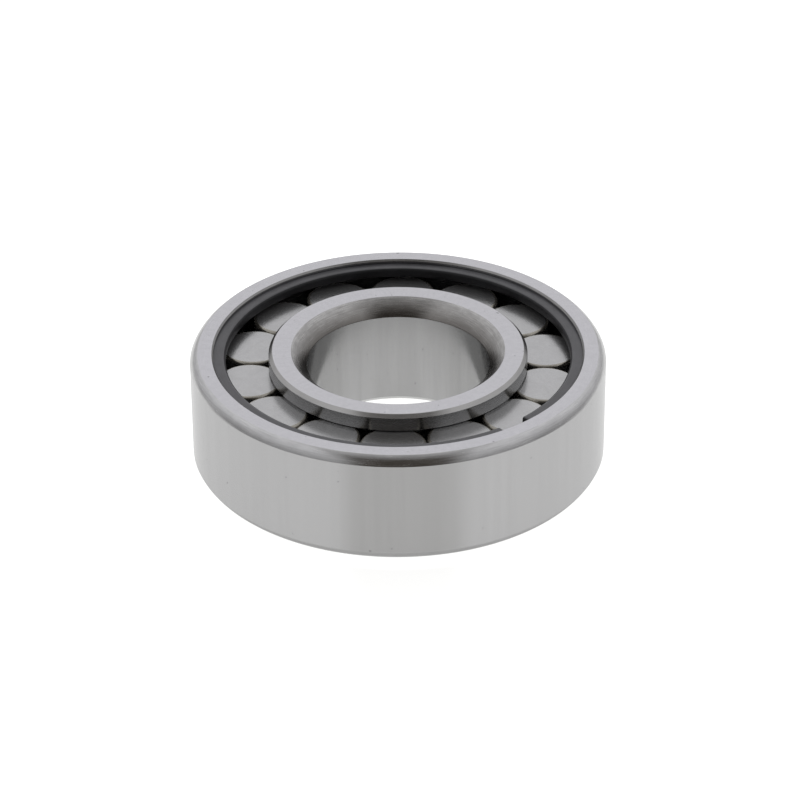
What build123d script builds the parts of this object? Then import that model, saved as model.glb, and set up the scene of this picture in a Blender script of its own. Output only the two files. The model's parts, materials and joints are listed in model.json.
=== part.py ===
from build123d import *
import os

# Full-complement cylindrical roller bearing, 22 x 50 x 14 mm.
# The origin is the bearing's centre, halfway through its width, and +Z is its axis. The outer ring's open
# side, closed by the split retaining ring, faces +Z. Lengths are in millimetres, angles in degrees,
# counter-clockwise from +X as seen from +Z.

# Boundary dimensions
BORE = 22.0
OUTSIDE = 50.0
WIDTH = 14.0

# Rollers: a full complement, side by side with no cage
ROLLER_COUNT = 14
ROLLER_DIAMETER = 8.0
ROLLER_LENGTH = 9.4
ROLLER_EDGE_RADIUS = 0.35
PITCH_RADIUS = 18.15
FIRST_ROLLER_ANGLE = 10.9
RUNNING_CLEARANCE = 0.02  # radial, between a roller and each raceway

# Ribs: two on the inner ring and one on the outer ring, all of one thickness
RIB_THICKNESS = 2.27
INNER_RIB_DIAMETER = 31.1
OUTER_RIB_DIAMETER = 41.2
RIB_EDGE_BREAK = 0.42
RIB_LIP_BREAK = 0.25  # on the edge of a rib beside the rollers
CORNER_RELIEF_RADIUS = 0.35  # grinding relief where a raceway meets a rib

# Mounting chamfers and edges
OUTSIDE_CHAMFER_RADIAL = 0.9
OUTSIDE_CHAMFER_AXIAL = 1.12
CHAMFER_BULGE = 0.12  # how far a convex chamfer's arc stands off its chord
BORE_TOP_CHAMFER = 1.9
BORE_BOTTOM_CHAMFER = 0.7
FACE_EDGE_BREAK = 0.22  # on the edge between the outer ring's upper face and its raceway

# Split retaining ring, sprung into a groove of the outer ring
RETAINER_INSIDE_RADIUS = 20.72
RETAINER_THICKNESS = 1.3
RETAINER_SINK = 0.52  # from the outer ring's face down to the retaining ring
RETAINER_EDGE_RADIUS = 0.4
RETAINER_PLAY = 0.03  # between the retaining ring and each wall of its groove
RETAINER_GROOVE_DEPTH = 0.9
RETAINER_GAP = 3.75
RETAINER_GAP_ANGLE = 309.0

# Worked out from the dimensions above
HALF_WIDTH = WIDTH / 2
OUTSIDE_RADIUS = OUTSIDE / 2
BORE_RADIUS = BORE / 2
RIB_FACE_HEIGHT = HALF_WIDTH - RIB_THICKNESS
INNER_RACEWAY_RADIUS = PITCH_RADIUS - ROLLER_DIAMETER / 2 - RUNNING_CLEARANCE
OUTER_RACEWAY_RADIUS = PITCH_RADIUS + ROLLER_DIAMETER / 2 + RUNNING_CLEARANCE
GROOVE_RADIUS = OUTER_RACEWAY_RADIUS + RETAINER_GROOVE_DEPTH
RETAINER_TOP = HALF_WIDTH - RETAINER_SINK
RETAINER_MIDDLE = RETAINER_TOP - RETAINER_THICKNESS / 2


def turned(section):
    """Turn a section, drawn as radius and height, about the bearing's axis."""
    return revolve(Plane.XZ * section, Axis.Z)


def corner_relief(raceway_radius, height):
    """The round relief cut into the corner between a raceway and a rib."""
    return Pos(raceway_radius, height) * Circle(CORNER_RELIEF_RADIUS)


def outside_outline():
    """The outer ring's outside: a ground cylinder between two convex turned chamfers."""
    face_radius = OUTSIDE_RADIUS - OUTSIDE_CHAMFER_RADIAL
    ground_half_height = HALF_WIDTH - OUTSIDE_CHAMFER_AXIAL
    top_inner = (face_radius, HALF_WIDTH)
    top_outer = (OUTSIDE_RADIUS, ground_half_height)
    bottom_outer = (OUTSIDE_RADIUS, -ground_half_height)
    bottom_inner = (face_radius, -HALF_WIDTH)
    top_chamfer = SagittaArc(top_inner, top_outer, CHAMFER_BULGE)
    bottom_chamfer = SagittaArc(bottom_outer, bottom_inner, CHAMFER_BULGE)
    return top_chamfer + Line(top_outer, bottom_outer) + bottom_chamfer


def outer_ring():
    """Outer ring: one integral rib below, and an open side above with the retaining ring's groove."""
    outside = outside_outline()
    rib_radius = OUTER_RIB_DIAMETER / 2
    groove_top = RETAINER_TOP + RETAINER_PLAY
    groove_bottom = RETAINER_TOP - RETAINER_THICKNESS - RETAINER_PLAY
    inside = Polyline(
        outside @ 1,
        (rib_radius + RIB_EDGE_BREAK, -HALF_WIDTH),
        (rib_radius, RIB_EDGE_BREAK - HALF_WIDTH),
        (rib_radius, -RIB_FACE_HEIGHT - RIB_LIP_BREAK),
        (rib_radius + RIB_LIP_BREAK, -RIB_FACE_HEIGHT),
        (OUTER_RACEWAY_RADIUS, -RIB_FACE_HEIGHT),
        (OUTER_RACEWAY_RADIUS, groove_bottom),
        (GROOVE_RADIUS, groove_bottom),
        (GROOVE_RADIUS, groove_top),
        (OUTER_RACEWAY_RADIUS, groove_top),
        (OUTER_RACEWAY_RADIUS, HALF_WIDTH - FACE_EDGE_BREAK),
        (OUTER_RACEWAY_RADIUS + FACE_EDGE_BREAK, HALF_WIDTH),
        outside @ 0,
    )
    section = make_face(outside + inside)
    return turned(section - corner_relief(OUTER_RACEWAY_RADIUS, -RIB_FACE_HEIGHT))


def inner_ring():
    """Inner ring: a rib at each end, and a larger, convex bore chamfer above than below."""
    rib_radius = INNER_RIB_DIAMETER / 2
    top_chamfer = SagittaArc(
        (BORE_RADIUS, HALF_WIDTH - BORE_TOP_CHAMFER),
        (BORE_RADIUS + BORE_TOP_CHAMFER, HALF_WIDTH),
        CHAMFER_BULGE,
    )
    outline = top_chamfer + Polyline(
        top_chamfer @ 1,
        (rib_radius - RIB_EDGE_BREAK, HALF_WIDTH),
        (rib_radius, HALF_WIDTH - RIB_EDGE_BREAK),
        (rib_radius, RIB_FACE_HEIGHT + RIB_LIP_BREAK),
        (rib_radius - RIB_LIP_BREAK, RIB_FACE_HEIGHT),
        (INNER_RACEWAY_RADIUS, RIB_FACE_HEIGHT),
        (INNER_RACEWAY_RADIUS, -RIB_FACE_HEIGHT),
        (rib_radius - RIB_LIP_BREAK, -RIB_FACE_HEIGHT),
        (rib_radius, -RIB_FACE_HEIGHT - RIB_LIP_BREAK),
        (rib_radius, RIB_EDGE_BREAK - HALF_WIDTH),
        (rib_radius - RIB_EDGE_BREAK, -HALF_WIDTH),
        (BORE_RADIUS + BORE_BOTTOM_CHAMFER, -HALF_WIDTH),
        (BORE_RADIUS, BORE_BOTTOM_CHAMFER - HALF_WIDTH),
        top_chamfer @ 0,
    )
    section = make_face(outline)
    for rib_face in (-RIB_FACE_HEIGHT, RIB_FACE_HEIGHT):
        section -= corner_relief(INNER_RACEWAY_RADIUS, rib_face)
    return turned(section)


def retaining_ring():
    """Flat spring ring with rounded inside edges, split by a gap with parallel ends."""
    rim_radius = GROOVE_RADIUS - RETAINER_PLAY
    breadth = rim_radius - RETAINER_INSIDE_RADIUS
    middle_radius = rim_radius - breadth / 2
    section = Pos(middle_radius, RETAINER_MIDDLE) * Rectangle(breadth, RETAINER_THICKNESS)
    inside_corners = section.vertices().group_by(Axis.X)[0]
    ring = turned(fillet(inside_corners, RETAINER_EDGE_RADIUS))
    gap = Box(2 * breadth, RETAINER_GAP, 2 * RETAINER_THICKNESS)
    return ring - Rot(0, 0, RETAINER_GAP_ANGLE) * Pos(middle_radius, 0, RETAINER_MIDDLE) * gap


def roller(index):
    """One roller, standing at its place on the pitch circle."""
    body = Cylinder(ROLLER_DIAMETER / 2, ROLLER_LENGTH)
    end_edges = body.edges().filter_by(GeomType.CIRCLE)
    body = fillet(end_edges, ROLLER_EDGE_RADIUS)
    angle = FIRST_ROLLER_ANGLE + index * 360 / ROLLER_COUNT
    return Rot(0, 0, angle) * Pos(PITCH_RADIUS, 0, 0) * body


nodes = {"outer_ring": outer_ring(), "inner_ring": inner_ring(), "retaining_ring": retaining_ring()}
for index in range(ROLLER_COUNT):
    nodes[f"roller_{index + 1:02d}"] = roller(index)

os.makedirs("parts", exist_ok=True)
for name, shape in nodes.items():
    export_step(shape, f"parts/{name}.step")
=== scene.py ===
import json
import math
import random

import bpy
from mathutils import Euler, Matrix, Vector


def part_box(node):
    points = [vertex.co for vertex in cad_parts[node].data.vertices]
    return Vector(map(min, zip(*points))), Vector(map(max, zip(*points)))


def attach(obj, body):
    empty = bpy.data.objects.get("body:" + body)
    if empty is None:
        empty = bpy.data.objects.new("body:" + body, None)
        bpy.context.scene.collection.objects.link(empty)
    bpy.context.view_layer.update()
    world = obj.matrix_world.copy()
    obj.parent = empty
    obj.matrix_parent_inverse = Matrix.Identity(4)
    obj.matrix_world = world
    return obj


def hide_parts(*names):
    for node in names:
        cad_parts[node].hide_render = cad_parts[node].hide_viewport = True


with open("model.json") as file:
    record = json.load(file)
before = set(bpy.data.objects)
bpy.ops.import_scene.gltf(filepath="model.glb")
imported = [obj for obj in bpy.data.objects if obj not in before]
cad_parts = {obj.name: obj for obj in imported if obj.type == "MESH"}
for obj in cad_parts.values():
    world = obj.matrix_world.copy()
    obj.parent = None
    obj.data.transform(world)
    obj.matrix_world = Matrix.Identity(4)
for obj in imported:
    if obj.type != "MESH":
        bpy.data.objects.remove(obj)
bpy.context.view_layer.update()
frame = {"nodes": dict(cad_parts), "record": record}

# Lengths in this script are millimetres, heights are above the bearing's middle, and angles are degrees,
# counter-clockwise from +X as seen from above. mesh() turns millimetres into the frame's metres. Only the
# studio's lengths, and the depths of bumps, are metres.
MM = 0.001

# Sizes that the frame gives
outer_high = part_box("outer_ring")[1] / MM
inner_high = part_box("inner_ring")[1] / MM
retainer_low, retainer_high = (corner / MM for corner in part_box("retaining_ring"))
roller_low, roller_high = (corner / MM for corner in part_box("roller_01"))
bore_mount = next(m for m in frame["record"]["mounts"] if m["name"] == "bore")

HALF_WIDTH = outer_high.z
OUTSIDE_RADIUS = outer_high.x
BORE_RADIUS = bore_mount["dims"]["r_mm"]
INNER_RIB_RADIUS = inner_high.x
RETAINER_RIM_RADIUS = retainer_high.y
RETAINER_TOP, RETAINER_BOTTOM = retainer_high.z, retainer_low.z
ROLLER_RADIUS = (roller_high.x - roller_low.x) / 2
ROLLER_HALF_LENGTH = roller_high.z
PITCH_RADIUS = ((roller_low + roller_high) / 2).to_2d().length

# Sizes inside the rings, as in the CAD
RUNNING_CLEARANCE = 0.02
INNER_RACEWAY_RADIUS = PITCH_RADIUS - ROLLER_RADIUS - RUNNING_CLEARANCE
OUTER_RACEWAY_RADIUS = PITCH_RADIUS + ROLLER_RADIUS + RUNNING_CLEARANCE
RIB_THICKNESS = 2.27
RIB_FACE_HEIGHT = HALF_WIDTH - RIB_THICKNESS
OUTER_RIB_RADIUS = 20.6
RIB_EDGE_BREAK = 0.42
RIB_LIP_BREAK = 0.25
CORNER_RELIEF = 0.35
OUTSIDE_CHAMFER = (0.9, 1.12)  # across the face, down the outside
CHAMFER_BULGE = 0.12  # how far a convex chamfer's arc stands off its chord
BORE_TOP_CHAMFER = 1.9
BORE_BOTTOM_CHAMFER = 0.7
FACE_EDGE_BREAK = 0.22
GROOVE_DEPTH = 0.9
GROOVE_RADIUS = OUTER_RACEWAY_RADIUS + GROOVE_DEPTH
GROOVE_PLAY = 0.03
RETAINER_INSIDE_RADIUS = 20.72
RETAINER_EDGE = 0.4
RETAINER_GAP_ANGLE = 309.0
RETAINER_GAP = 3.75
RETAINER_END_EASE = 0.2
ROLLER_EDGE = 0.35

# How far each kind of edge is rounded
CHAMFER_TO_FACE_ROUNDING = 0.15
CHAMFER_START_ROUNDING = 0.12
FACE_ROUNDING = 0.08
RIM_ROUNDING = 0.08
RIB_ROUNDING = 0.06
FACE_BREAK_ROUNDING = 0.05
RACEWAY_END_ROUNDING = 0.04
GROUND_EDGE_ROUNDING = 0.03
RIB_LIP_ROUNDING = 0.02

# Mesh density
RING_STEPS = 256
ROLLER_STEPS = 96
ARC_STEPS = 6
CHAMFER_STEPS = 8
ROLLER_END_ROWS = (0.5, 0.97)  # as shares of the flat end's radius
ROLLER_SUPPORT = 0.3  # from the rounded edge to a row that keeps the side straight, as a share of the edge
SHARP_ANGLE = 20.0
LARGEST_ROUNDING = 0.45  # as a share of the shorter stretch beside the corner
SUPPORT = 1.2  # from a corner to its support points, as a share of its rounding's reach

MARKS_VARIETY = 200.0  # the span that each roller's marks are drawn from


# ---------------------------------------------------------------- profiles
# A profile is a list of corners (radius, height, rounding, finish) in clockwise order, so its outside is on
# the left. A corner's finish is that of the stretch that starts there.

def arc(centre, radius, start, end, steps=ARC_STEPS):
    """Points on an arc, as (radius, height), from one angle to another."""
    angles = [math.radians(start + (end - start) * k / steps) for k in range(steps + 1)]
    return [(centre[0] + radius * math.cos(a), centre[1] + radius * math.sin(a)) for a in angles]


def relief(height, raceway_radius, start, end):
    """Corners along a grinding relief: three quarters of a circle about the corner that it clears."""
    points = arc((raceway_radius, height), CORNER_RELIEF, start, end, 3 * ARC_STEPS)
    return [(r, z, 0, "turned") for r, z in points]


def convex(start, end, finish, start_rounding=0.0):
    """Corners along the arc of a convex chamfer."""
    start, end = Vector(start), Vector(end)
    along = end - start
    half_chord = along.length / 2
    along.normalize()
    outward = Vector((-along.y, along.x))
    radius = (half_chord ** 2 + CHAMFER_BULGE ** 2) / (2 * CHAMFER_BULGE)
    centre = (start + end) / 2 - outward * (radius - CHAMFER_BULGE)
    reach = math.asin(half_chord / radius)
    corners = []
    for k in range(CHAMFER_STEPS + 1):
        turn = reach * (2 * k / CHAMFER_STEPS - 1)
        point = centre + outward * (radius * math.cos(turn)) + along * (radius * math.sin(turn))
        corners.append((point.x, point.y, 0.0 if k else start_rounding, finish))
    return corners


def rounded(corner, before, after, radius):
    """The arc that replaces a corner, between two support points that keep the flats beside it flat."""
    point = Vector(corner)
    back, ahead = Vector(before) - point, Vector(after) - point
    half_angle = back.angle(ahead) / 2
    reach = min(radius / math.tan(half_angle), LARGEST_ROUNDING * min(back.length, ahead.length))
    radius = reach * math.tan(half_angle)
    back.normalize(), ahead.normalize()
    centre = point + (back + ahead).normalized() * (radius / math.sin(half_angle))
    start, end = point + back * reach - centre, point + ahead * reach - centre
    turn = start.angle_signed(end)
    made = [centre + Matrix.Rotation(-turn * k / ARC_STEPS, 2) @ start for k in range(ARC_STEPS + 1)]
    support = SUPPORT * reach
    return [point + back * support, *made, point + ahead * support]


def profile(corners):
    """A profile's points, with its corners rounded, and the finish of the stretch that starts at each."""
    points, finishes = [], []
    for k, (r, z, rounding, finish) in enumerate(corners):
        before, after = corners[k - 1][:2], corners[(k + 1) % len(corners)][:2]
        made = rounded((r, z), before, after, rounding) if rounding else [Vector((r, z))]
        points += made
        finishes += [finish] * len(made)
    return points, finishes


# ---------------------------------------------------------------- meshes

def mesh(name, vertices, faces, finishes, materials, centre=(0, 0, 0), marks_shift=0.0):
    """A smooth object from vertices about its own axis, standing at centre.

    The attribute turned_at keeps each vertex's place about that axis, for the materials. marks_shift moves
    it along the axis, so that pieces of one shape don't all show the same marks.
    """
    data = bpy.data.meshes.new(name)
    data.from_pydata([Vector(v) * MM for v in vertices], [], faces)
    turned_at = data.attributes.new("turned_at", "FLOAT_VECTOR", "POINT")
    turned_at.data.foreach_set("vector", [x for a, b, c in vertices for x in (a, b, c + marks_shift)])
    used = sorted(set(finishes))
    for finish in used:
        data.materials.append(materials[finish])
    for polygon, finish in zip(data.polygons, finishes):
        polygon.material_index = used.index(finish)
        polygon.use_smooth = True
    data.set_sharp_from_angle(angle=math.radians(SHARP_ANGLE))
    data.update()
    piece = bpy.data.objects.new(name, data)
    piece.location = Vector(centre) * MM
    bpy.context.scene.collection.objects.link(piece)
    return piece


def around(radius, height, angle):
    """The point at a radius, height and angle in radians about the Z axis."""
    return (radius * math.cos(angle), radius * math.sin(angle), height)


def strip(here, there, count):
    """Quads between two closed rows of count vertices each, whose first are numbered here and there."""
    return [(here + k, here + (k + 1) % count, there + (k + 1) % count, there + k) for k in range(count)]


def turned(name, corners, materials):
    """A ring turned from a closed profile."""
    points, finishes = profile(corners)
    count = len(points)
    vertices, faces = [], []
    for step in range(RING_STEPS):
        angle = 2 * math.pi * step / RING_STEPS
        vertices += [around(p.x, p.y, angle) for p in points]
        faces += strip(step * count, (step + 1) % RING_STEPS * count, count)
    return mesh(name, vertices, faces, finishes * RING_STEPS, materials)


def placed(piece, node, body):
    """Stands for its CAD node, which it hides, and moves with its body."""
    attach(piece, body)
    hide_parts(node)


# ---------------------------------------------------------------- materials

EDGE_TINT = 0.8  # the share of grazing light that steel keeps
TONE_NOISE = (0.35, 0.65)  # the noise's span between the darkest and the lightest tone
MARK_NOISE = (0.3, 0.7)  # its span between the least and the most roughness
MARK_DEPTH = 0.000004
BAND_REACH = 0.95  # of the darker brown band next to the bore, as a share of the chamfer's width
BAND_WANDER = 0.6  # how far the noise shifts the band's edge, as a share of the band's width
PIT_CELLS = (2.2, 45.0)
PIT_NOISE = (0.16, 0.19)
PIT_COVER = 0.6
PIT_COLOUR = (0.12, 0.12, 0.13)
CROSSWISE = 0.25  # a quarter turn, so that a ground surface's highlights run across its marks

OXIDE_GRAIN = (5.0, 60.0)
OXIDE_GRAIN_DEPTH = 0.000005
OXIDE_RUBBED = (0.8, 9.0)
OXIDE_RUBBED_NOISE = (0.35, 0.7)


class Nodes:
    """A node tree, with short ways to add a node and to link or set what it takes in."""

    def __init__(self, tree):
        self.tree = tree

    def give(self, socket, value):
        if isinstance(value, bpy.types.NodeSocket):
            self.tree.links.new(value, socket)
        else:
            socket.default_value = value

    def add(self, kind, settings=None, **inputs):
        """Add a node. An input is named by its socket, with _ for a space, or by its number, as in i0."""
        node = self.tree.nodes.new(kind)
        for key, value in (settings or {}).items():
            setattr(node, key, value)
        for key, value in inputs.items():
            by_number = key[0] == "i" and key[1:].isdigit()
            self.give(node.inputs[int(key[1:]) if by_number else key.replace("_", " ")], value)
        return node

    def math(self, operation, a, b=0.0):
        return self.add("ShaderNodeMath", {"operation": operation}, i0=a, i1=b).outputs[0]

    def spread(self, value, from_low, from_high, to_low=0.0, to_high=1.0):
        """Map a value from one range to another, clamped."""
        return self.add("ShaderNodeMapRange", None, Value=value, From_Min=from_low, From_Max=from_high,
                        To_Min=to_low, To_Max=to_high).outputs["Result"]

    def blend(self, factor, first, second):
        """Mix two colours. A Mix node numbers its sockets for colours 0, 6 and 7, and its colour output 2."""
        mix = self.add("ShaderNodeMix", {"data_type": "RGBA"})
        for number, value in ((0, factor), (6, first), (7, second)):
            self.give(mix.inputs[number], value)
        return mix.outputs[2]


def turning_place(nodes):
    """The place in millimetres about the piece's own axis, the same without its height, and its radius."""
    place = nodes.add("ShaderNodeAttribute", {"attribute_name": "turned_at"}).outputs["Vector"]
    flat = nodes.add("ShaderNodeVectorMath", {"operation": "MULTIPLY"}, i0=place, i1=(1, 1, 0)).outputs[0]
    radius = nodes.add("ShaderNodeVectorMath", {"operation": "LENGTH"}, i0=flat).outputs["Value"]
    return place, flat, radius


def turned_noise(nodes, across, along, detail=3.0):
    """Noise that follows the piece's turning marks.

    It has across cells per millimetre from one mark to the next and about six times along cells in a full
    turn. It has no seam, because the angle goes in as a point on a circle.
    """
    place, flat, radius = turning_place(nodes)
    ring = nodes.add("ShaderNodeVectorMath", {"operation": "NORMALIZE"}, i0=flat).outputs[0]
    cosine, sine, _ = nodes.add("ShaderNodeSeparateXYZ", None, i0=ring).outputs
    height = nodes.add("ShaderNodeSeparateXYZ", None, i0=place).outputs[2]
    cells = nodes.add(
        "ShaderNodeCombineXYZ",
        None,
        i0=nodes.math("MULTIPLY", radius, across),
        i1=nodes.math("MULTIPLY", height, across),
        i2=nodes.math("MULTIPLY", cosine, along),
    ).outputs[0]
    noise = nodes.add("ShaderNodeTexNoise", {"noise_dimensions": "4D"}, Vector=cells,
                      W=nodes.math("MULTIPLY", sine, along), Scale=1.0, Detail=detail, Roughness=0.6)
    return noise.outputs[0]


def new_material(name):
    material = bpy.data.materials.new(name)
    material.use_nodes = True
    return material, Nodes(material.node_tree), material.node_tree.nodes["Principled BSDF"]


def grey(level, tint=(1.0, 1.0, 1.0)):
    return tuple(level * channel for channel in tint)


def steel(name, tones, rough, marks, clouds=(0.35, 6.0), mottle=0.5, bump=0.2, anisotropy=0.0, darker_band=None,
          specks=False, haze=0.0):
    """Machined bearing steel.

    tones are its darkest and lightest colours and rough its least and most roughness. marks and clouds are
    the (across, along) of its tool marks and of its broad tone changes, and mottle is the clouds' share of
    the tone. darker_band is (colour, radius where it is full, radius where it has faded out): a darker colour
    over the steel next to that radius. specks puts a few small dark pits on it. haze is the share of the
    light that it scatters every way.
    """
    material, nodes, shader = new_material(name)
    lines = turned_noise(nodes, *marks)
    cloudy = nodes.math("MULTIPLY", turned_noise(nodes, *clouds), mottle)
    mixed = nodes.math("ADD", cloudy, nodes.math("MULTIPLY", lines, 1 - mottle))
    colour = nodes.blend(nodes.spread(mixed, *TONE_NOISE), (*tones[0], 1), (*tones[1], 1))
    # A darker colour laid over the steel from one radius, fading out by another, with an edge that wanders
    # with the tone noise.
    if darker_band:
        band_colour, full, faded = darker_band
        wander = BAND_WANDER * (faded - full)
        _, _, radius = turning_place(nodes)
        reach = nodes.math("ADD", radius, nodes.math("MULTIPLY", mixed, wander))
        bare = nodes.spread(reach, full + wander / 2, faded + wander / 2)
        colour = nodes.blend(bare, (*band_colour, 1), colour)
    if specks:
        pits = nodes.spread(turned_noise(nodes, *PIT_CELLS, detail=0.0), *PIT_NOISE, PIT_COVER, 0.0)
        colour = nodes.blend(pits, colour, (*PIT_COLOUR, 1))
    bumps = nodes.add("ShaderNodeBump", None, Height=lines, Strength=bump, Distance=MARK_DEPTH)
    shader.inputs["Metallic"].default_value = 1.0 - haze
    shader.inputs["Specular Tint"].default_value = (*grey(EDGE_TINT), 1)
    nodes.give(shader.inputs["Base Color"], colour)
    nodes.give(shader.inputs["Roughness"], nodes.spread(lines, *MARK_NOISE, *rough))
    nodes.give(shader.inputs["Normal"], bumps.outputs[0])
    if anisotropy:
        tangent = nodes.add("ShaderNodeTangent", {"direction_type": "RADIAL", "axis": "Z"})
        shader.inputs["Anisotropic"].default_value = anisotropy
        shader.inputs["Anisotropic Rotation"].default_value = CROSSWISE
        nodes.give(shader.inputs["Tangent"], tangent.outputs[0])
    return material


def black_oxide(name, tones, rough, specular):
    """Blackened spring steel: a thin dark oxide, rubbed a little lighter in places."""
    material, nodes, shader = new_material(name)
    grain = turned_noise(nodes, *OXIDE_GRAIN, detail=4.0)
    rubbed = nodes.spread(turned_noise(nodes, *OXIDE_RUBBED), *OXIDE_RUBBED_NOISE)
    bumps = nodes.add("ShaderNodeBump", None, Height=grain, Strength=0.35, Distance=OXIDE_GRAIN_DEPTH)
    shader.inputs["Specular IOR Level"].default_value = specular
    nodes.give(shader.inputs["Base Color"], nodes.blend(rubbed, (*tones[0], 1), (*tones[1], 1)))
    nodes.give(shader.inputs["Roughness"], nodes.spread(grain, *MARK_NOISE, *rough))
    nodes.give(shader.inputs["Normal"], bumps.outputs[0])
    return material


LILAC = (1.0, 0.992, 1.028)
WARM = (1.01, 1.0, 0.98)
STRAW = (1.05, 1.0, 0.88)
BROWN = (0.165, 0.156, 0.146)

ring_finishes = {
    "ground_outside": steel("ground_outside", (grey(0.358), grey(0.378)), (0.21, 0.25), (9.0, 5.0),
                            clouds=(0.03, 26.0), mottle=0.6, bump=0.06, anisotropy=0.8, specks=True),
    "ground_face": steel("ground_face", (grey(0.48, LILAC), grey(0.53, LILAC)), (0.22, 0.27), (7.0, 14.0),
                         clouds=(1.0, 36.0), bump=0.06, specks=True),
    "ground_rib": steel("ground_rib", (grey(0.35), grey(0.42)), (0.23, 0.29), (9.0, 4.0), bump=0.1,
                        anisotropy=0.9),
    "turned": steel("turned", (grey(0.41), grey(0.54)), (0.18, 0.28), (7.0, 8.0),
                    clouds=(1.2, 12.0), mottle=0.4, bump=0.4),
    # Painted shade: the lower outside chamfer is a darker copy of the turned steel, standing in for the
    # shaded floor under the bearing that it reflects.
    "lower_chamfer": steel("lower_chamfer", (grey(0.27), grey(0.33)), (0.18, 0.28), (7.0, 8.0),
                           clouds=(1.2, 12.0), mottle=0.4, bump=0.4),
    # The bore's chamfer is darker and browner next to the bore, fading out towards the face.
    "bore_chamfer": steel("bore_chamfer", (grey(0.29, WARM), grey(0.47, WARM)), (0.18, 0.30), (8.0, 5.0),
                          clouds=(1.5, 10.0), mottle=0.4, bump=0.4, haze=0.05,
                          darker_band=(BROWN, BORE_RADIUS, BORE_RADIUS + BAND_REACH * BORE_TOP_CHAMFER)),
    "rib_edge": steel("rib_edge", (grey(0.32, WARM), grey(0.39, WARM)), (0.18, 0.26), (8.0, 10.0)),
    # Painted shade: the edge break at the top of the outer ring's bore is a much darker copy of the steel,
    # standing in for the shade and dark reflections beside the groove.
    "edge": steel("edge", (grey(0.20, WARM), grey(0.27, WARM)), (0.25, 0.35), (6.0, 14.0)),
    # Painted shade: the bore's ground steel is made a little darker, standing in for the shade inside the
    # bore that the floor's glow leaves out.
    "ground_bore": steel("ground_bore", (grey(0.350), grey(0.385)), (0.19, 0.24), (9.0, 3.0),
                         clouds=(0.05, 9.0), mottle=0.8, bump=0.08, anisotropy=0.85, specks=True),
    "raceway": steel("raceway", (grey(0.47), grey(0.50)), (0.12, 0.18), (10.0, 3.0), bump=0.1, haze=0.12),
}
roller_finishes = {
    "roller_end": steel("roller_end", (grey(0.41), grey(0.47)), (0.20, 0.25), (5.0, 6.0),
                        clouds=(0.5, 2.0), bump=0.1, haze=0.13),
    # Painted shade: the rounded edges at the rollers' ends are a darker copy of the roller steel, with a
    # straw tint, which holds back their highlights.
    "roller_edge": steel("roller_edge", (grey(0.24, STRAW), grey(0.32, STRAW)), (0.22, 0.32), (8.0, 10.0),
                         haze=0.1),
    "roller_side": steel("roller_side", (grey(0.49), grey(0.52)), (0.10, 0.16), (10.0, 3.0), bump=0.1,
                         haze=0.12),
}
retainer_finishes = {
    "oxide": black_oxide("black_oxide", ((0.036, 0.036, 0.040), (0.058, 0.057, 0.063)), (0.28, 0.38),
                         specular=0.55),
    # The sheared walls and the gap's ends: a rougher and much darker copy of the oxide. Part of this is their
    # own duller finish, and part is painted shade that stands in for the shade on the inner wall.
    "punched": black_oxide("punched_oxide", ((0.008, 0.008, 0.009), (0.016, 0.016, 0.018)), (0.45, 0.60),
                           specular=0.3),
}


# ---------------------------------------------------------------- pieces

def outer_ring():
    """The outer ring, with convex turned chamfers, the retaining ring's groove and its one hidden rib."""
    across, down = OUTSIDE_CHAMFER
    face_radius, ground_height = OUTSIDE_RADIUS - across, HALF_WIDTH - down
    groove_top, groove_bottom = RETAINER_TOP + GROOVE_PLAY, RETAINER_BOTTOM - GROOVE_PLAY
    top = convex((face_radius, HALF_WIDTH), (OUTSIDE_RADIUS, ground_height), "turned",
                 CHAMFER_START_ROUNDING)
    # Painted shade: the bottom chamfer takes the darker copy of the turned steel.
    bottom = convex((OUTSIDE_RADIUS, -ground_height), (face_radius, -HALF_WIDTH), "lower_chamfer")
    corners = [
        *top[:-1],
        (OUTSIDE_RADIUS, ground_height, GROUND_EDGE_ROUNDING, "ground_outside"),
        (OUTSIDE_RADIUS, -ground_height, GROUND_EDGE_ROUNDING, "lower_chamfer"),
        *bottom[1:-1],
        (face_radius, -HALF_WIDTH, FACE_ROUNDING, "ground_face"),
        (OUTER_RIB_RADIUS + RIB_EDGE_BREAK, -HALF_WIDTH, RIB_ROUNDING, "turned"),
        (OUTER_RIB_RADIUS, RIB_EDGE_BREAK - HALF_WIDTH, RIB_ROUNDING, "ground_rib"),
        (OUTER_RIB_RADIUS, -RIB_FACE_HEIGHT - RIB_LIP_BREAK, RIB_LIP_ROUNDING, "turned"),
        (OUTER_RIB_RADIUS + RIB_LIP_BREAK, -RIB_FACE_HEIGHT, RIB_LIP_ROUNDING, "raceway"),
        *relief(-RIB_FACE_HEIGHT, OUTER_RACEWAY_RADIUS, 180, 450),
        (OUTER_RACEWAY_RADIUS, groove_bottom, RACEWAY_END_ROUNDING, "turned"),
        (GROOVE_RADIUS, groove_bottom, 0, "turned"),
        (GROOVE_RADIUS, groove_top, 0, "turned"),
        (OUTER_RACEWAY_RADIUS, groove_top, GROUND_EDGE_ROUNDING, "turned"),
        # Painted shade: this edge break takes the darker copy of the steel.
        (OUTER_RACEWAY_RADIUS, HALF_WIDTH - FACE_EDGE_BREAK, FACE_BREAK_ROUNDING, "edge"),
        (OUTER_RACEWAY_RADIUS + FACE_EDGE_BREAK, HALF_WIDTH, FACE_BREAK_ROUNDING, "ground_face"),
    ]
    placed(turned("outer_ring_body", corners, ring_finishes), "outer_ring", "outer_ring")


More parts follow.
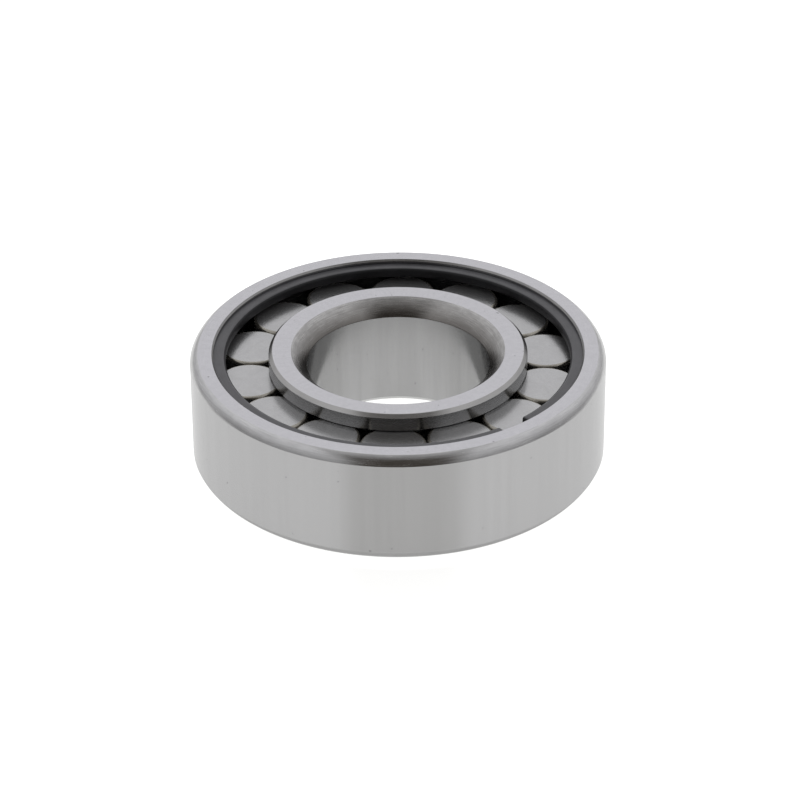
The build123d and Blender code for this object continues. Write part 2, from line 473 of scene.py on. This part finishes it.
def inner_ring():
    """The inner ring, with two ribs, reliefs beside them and a large convex chamfer at the bore's top."""
    chamfer_low = (BORE_RADIUS, HALF_WIDTH - BORE_TOP_CHAMFER)
    chamfer_high = (BORE_RADIUS + BORE_TOP_CHAMFER, HALF_WIDTH)
    corners = [
        *convex(chamfer_low, chamfer_high, "bore_chamfer", CHAMFER_START_ROUNDING)[:-1],
        (*chamfer_high, CHAMFER_TO_FACE_ROUNDING, "ground_face"),
        (INNER_RIB_RADIUS - RIB_EDGE_BREAK, HALF_WIDTH, FACE_ROUNDING, "rib_edge"),
        (INNER_RIB_RADIUS, HALF_WIDTH - RIB_EDGE_BREAK, FACE_ROUNDING, "ground_rib"),
        (INNER_RIB_RADIUS, RIB_FACE_HEIGHT + RIB_LIP_BREAK, RIB_LIP_ROUNDING, "turned"),
        (INNER_RIB_RADIUS - RIB_LIP_BREAK, RIB_FACE_HEIGHT, RIB_LIP_ROUNDING, "raceway"),
        *relief(RIB_FACE_HEIGHT, INNER_RACEWAY_RADIUS, 0, -270),
        *relief(-RIB_FACE_HEIGHT, INNER_RACEWAY_RADIUS, -90, -360),
        (INNER_RIB_RADIUS - RIB_LIP_BREAK, -RIB_FACE_HEIGHT, RIB_LIP_ROUNDING, "turned"),
        (INNER_RIB_RADIUS, -RIB_FACE_HEIGHT - RIB_LIP_BREAK, RIB_LIP_ROUNDING, "ground_rib"),
        (INNER_RIB_RADIUS, RIB_EDGE_BREAK - HALF_WIDTH, FACE_ROUNDING, "rib_edge"),
        (INNER_RIB_RADIUS - RIB_EDGE_BREAK, -HALF_WIDTH, FACE_ROUNDING, "ground_face"),
        (BORE_RADIUS + BORE_BOTTOM_CHAMFER, -HALF_WIDTH, FACE_ROUNDING, "turned"),
        (BORE_RADIUS, BORE_BOTTOM_CHAMFER - HALF_WIDTH, FACE_ROUNDING, "ground_bore"),
    ]
    placed(turned("inner_ring_body", corners, ring_finishes), "inner_ring", "inner_ring")


def retainer_stations(middle_radius):
    """Where the retaining ring's section stands: (angle from its first end, how far it is drawn in)."""
    length = 2 * math.pi - RETAINER_GAP / middle_radius
    ease = RETAINER_END_EASE / middle_radius
    stations = [(ease + (length - 2 * ease) * k / RING_STEPS, 0.0) for k in range(RING_STEPS + 1)]
    for k in range(1, ARC_STEPS + 1):
        turn = math.radians(90 * k / ARC_STEPS)
        along, inset = ease * (1 - math.sin(turn)), RETAINER_END_EASE * (1 - math.cos(turn))
        stations = [(along, inset), *stations, (length - along, inset)]
    return stations


def retaining_ring():
    """The split spring ring: its section is carried from one side of the gap round to the other."""
    section = [
        (RETAINER_INSIDE_RADIUS, RETAINER_TOP, RETAINER_EDGE, "oxide"),
        (RETAINER_RIM_RADIUS, RETAINER_TOP, RIM_ROUNDING, "punched"),
        (RETAINER_RIM_RADIUS, RETAINER_BOTTOM, RIM_ROUNDING, "oxide"),
        (RETAINER_INSIDE_RADIUS, RETAINER_BOTTOM, RETAINER_EDGE, "punched"),
    ]
    points, finishes = profile(section)
    # Painted shade: the inner half of the first edge is made as black as the wall below it, which holds back
    # the bevel's reflection.
    half_edge = 2 + ARC_STEPS // 2  # the inner half of the first edge is as black as the wall below it
    finishes[:half_edge] = ["punched"] * half_edge
    middle_radius = (RETAINER_RIM_RADIUS + RETAINER_INSIDE_RADIUS) / 2
    middle = Vector((middle_radius, (RETAINER_TOP + RETAINER_BOTTOM) / 2))
    start = math.radians(RETAINER_GAP_ANGLE) + RETAINER_GAP / 2 / middle_radius
    stations = retainer_stations(middle_radius)
    vertices, faces = [], []
    count = len(points)
    for station, (along, inset) in enumerate(stations):
        for p in points:
            offset = p - middle
            r, z = middle + Vector([x - math.copysign(min(inset, abs(x)), x) for x in offset])
            vertices.append(around(r, z, start + along))
        if station:
            faces += strip((station - 1) * count, station * count, count)
    ends = [tuple(range(count)), tuple(range(len(vertices) - 1, len(vertices) - count - 1, -1))]
    finishes = finishes * (len(stations) - 1) + ["punched"] * len(ends)
    piece = mesh("retaining_ring_body", vertices, faces + ends, finishes, retainer_finishes)
    placed(piece, "retaining_ring", "outer_ring")


def roller_rows():
    """A roller's rows of vertices (radius, height, finish below), from its top end to its bottom end."""
    edge_centre = (ROLLER_RADIUS - ROLLER_EDGE, ROLLER_HALF_LENGTH - ROLLER_EDGE)
    upper = [(share * edge_centre[0], ROLLER_HALF_LENGTH, "roller_end") for share in ROLLER_END_ROWS]
    # Painted shade: the rounded edge takes the darker copy of the roller steel.
    upper += [(r, z, "roller_edge") for r, z in arc(edge_centre, ROLLER_EDGE, 90, 0, 2 * ARC_STEPS)]
    upper[-1] = (*upper[-1][:2], "roller_side")
    upper.append((ROLLER_RADIUS, edge_centre[1] - ROLLER_SUPPORT * ROLLER_EDGE, "roller_side"))
    finish_above = ["roller_end"] + [finish for _, _, finish in upper[:-1]]
    lower = [(r, -z, finish) for (r, z, _), finish in zip(upper, finish_above)]
    return upper + lower[::-1]


def roller(node):
    """One roller about its own axis, with marks that no other has."""
    low, high = (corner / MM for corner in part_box(node))
    rows = roller_rows()
    vertices = [(0, 0, ROLLER_HALF_LENGTH), (0, 0, -ROLLER_HALF_LENGTH)]
    for r, z, _ in rows:
        vertices += [around(r, z, 2 * math.pi * step / ROLLER_STEPS) for step in range(ROLLER_STEPS)]
    last = 2 + (len(rows) - 1) * ROLLER_STEPS
    faces, finishes = [], []
    for step in range(ROLLER_STEPS):
        after = (step + 1) % ROLLER_STEPS
        faces += [(0, 2 + step, 2 + after), (1, last + after, last + step)]
        finishes += ["roller_end"] * 2
    for row, (_, _, finish) in enumerate(rows[:-1]):
        here = 2 + row * ROLLER_STEPS
        faces += [quad[::-1] for quad in strip(here, here + ROLLER_STEPS, ROLLER_STEPS)]
        finishes += [finish] * ROLLER_STEPS
    piece = mesh(f"{node}_body", vertices, faces, finishes, roller_finishes, (low + high) / 2,
                 marks_shift=random.uniform(0, MARKS_VARIETY))
    placed(piece, node, node)


# ---------------------------------------------------------------- studio

FLOOR_REACH = 4.0  # from the middle to each side
FLOOR_GLOW = 1.38
FAR_FLOOR_GLOW = 0.6
GLOW_FALLS = (0.11, 0.17)  # the distances from the bearing's middle between which the glow falls off
FLOOR_GLOSS = 0.36
FLOOR_GLOSS_ROUGHNESS = 0.12
FLOOR_GREY = (0.3, 0.3, 0.3, 1)
FLOOR_LIGHT = (1.0, 1.0, 0.99, 1)

# In the tent, x, y and z are those of the direction looked in, each from -1 to 1
TENT_WHITE = (0.99, 0.987, 1.008, 1)
TENT_SKIRT = (0.36, 0.355, 0.36, 1)
TENT_OPENING = (0.075, 0.064, 0.054, 1)
SKIRT_FADE = (0.08, 0.80)  # the heights between which the grey skirt gives way to the white walls
SKIRT_DROP = 0.55  # how much lower the skirt hangs at the back, towards +Y
OPENING_FADE = (0.375, 0.515)  # from the opening's middle line, sideways
OPENING_MIDDLE = (0.50, 0.86, 0.035, 0.0)  # two heights, and its middle line's x at each
ROOF_FADE = (48, 106)  # the angles above the front horizon between which the opening fades out

CAMERA_LENS, CAMERA_SENSOR = 154.33, 36.0
CAMERA_CLIP = (0.01, 20.0)
CAMERA_PLACE = (0.00020, -0.35576, 0.21413)
CAMERA_DIP = 31.069  # below the horizon
CAMERA_ROLL = -0.382


def floor_material():
    """Glossy white acrylic, lit from below near the bearing, and clear from underneath."""
    material, nodes, shader = new_material("white_acrylic")
    shader.inputs["Base Color"].default_value = FLOOR_GREY
    shader.inputs["Roughness"].default_value = 1.0
    shader.inputs["Specular IOR Level"].default_value = 0.0
    shader.inputs["Emission Color"].default_value = FLOOR_LIGHT
    position = nodes.add("ShaderNodeNewGeometry").outputs["Position"]
    distance = nodes.add("ShaderNodeVectorMath", {"operation": "LENGTH"}, i0=position).outputs["Value"]
    glow = nodes.spread(distance, *GLOW_FALLS, FLOOR_GLOW, FAR_FLOOR_GLOW)
    nodes.give(shader.inputs["Emission Strength"], glow)
    gloss = nodes.add("ShaderNodeBsdfGlossy", None, Color=(1, 1, 1, 1), Roughness=FLOOR_GLOSS_ROUGHNESS)
    glossy = nodes.add("ShaderNodeMixShader", None, i0=FLOOR_GLOSS, i1=shader.outputs[0], i2=gloss.outputs[0])
    clear = nodes.add("ShaderNodeBsdfTransparent")
    below = nodes.add("ShaderNodeNewGeometry").outputs["Backfacing"]
    mix = nodes.add("ShaderNodeMixShader", None, i0=below, i1=glossy.outputs[0], i2=clear.outputs[0])
    nodes.give(material.node_tree.nodes["Material Output"].inputs["Surface"], mix.outputs[0])
    return material


def floor():
    """A plain pale floor that the bearing lies on."""
    data = bpy.data.meshes.new("floor")
    ground = -HALF_WIDTH * MM
    corners = [(x * FLOOR_REACH, y * FLOOR_REACH, ground) for x, y in ((-1, -1), (1, -1), (1, 1), (-1, 1))]
    data.from_pydata(corners, [], [(0, 1, 2, 3)])
    data.materials.append(floor_material())
    plane = bpy.data.objects.new("floor", data)
    bpy.context.scene.collection.objects.link(plane)


def tent():
    """Soft light as in a white tent: greyer walls near the floor, and a dark opening towards -Y."""
    world = bpy.data.worlds.new("white_tent")
    bpy.context.scene.world = world
    world.use_nodes = True
    nodes = Nodes(world.node_tree)
    direction = nodes.add("ShaderNodeTexCoord").outputs["Generated"]
    x, y, z = nodes.add("ShaderNodeSeparateXYZ", None, i0=direction).outputs
    drop = nodes.math("MULTIPLY", nodes.math("MAXIMUM", y, 0.0), SKIRT_DROP)
    walls = nodes.blend(nodes.spread(nodes.math("ADD", z, drop), *SKIRT_FADE), TENT_SKIRT, TENT_WHITE)
    middle = nodes.spread(z, *OPENING_MIDDLE)
    aside = nodes.math("ABSOLUTE", nodes.math("SUBTRACT", x, middle))
    within_width = nodes.spread(aside, *OPENING_FADE, 1.0, 0.0)
    lift = nodes.math("ARCTAN2", z, nodes.math("MULTIPLY", y, -1.0))
    under_roof = nodes.spread(lift, *map(math.radians, ROOF_FADE), 1.0, 0.0)
    opening = nodes.math("MULTIPLY", within_width, under_roof)
    background = world.node_tree.nodes["Background"]
    nodes.give(background.inputs["Color"], nodes.blend(opening, walls, TENT_OPENING))
    background.inputs["Strength"].default_value = 1.0


def camera():
    """The camera, with a long lens, looking down on the bearing from the -Y side."""
    data = bpy.data.cameras.new("camera")
    data.lens, data.sensor_width = CAMERA_LENS, CAMERA_SENSOR
    data.clip_start, data.clip_end = CAMERA_CLIP
    seen_from = bpy.data.objects.new("camera", data)
    seen_from.location = CAMERA_PLACE
    tilt = Euler((math.radians(90 - CAMERA_DIP), 0, 0)).to_matrix()
    roll = Matrix.Rotation(math.radians(CAMERA_ROLL), 3, "Z")
    seen_from.rotation_euler = (tilt @ roll).to_euler()
    bpy.context.scene.collection.objects.link(seen_from)
    bpy.context.scene.camera = seen_from


random.seed(14)
outer_ring()
inner_ring()
retaining_ring()
for node in sorted(name for name in frame["nodes"] if name.startswith("roller_")):
    roller(node)
floor()
tent()
camera()
bpy.context.scene.view_settings.view_transform = "Standard"
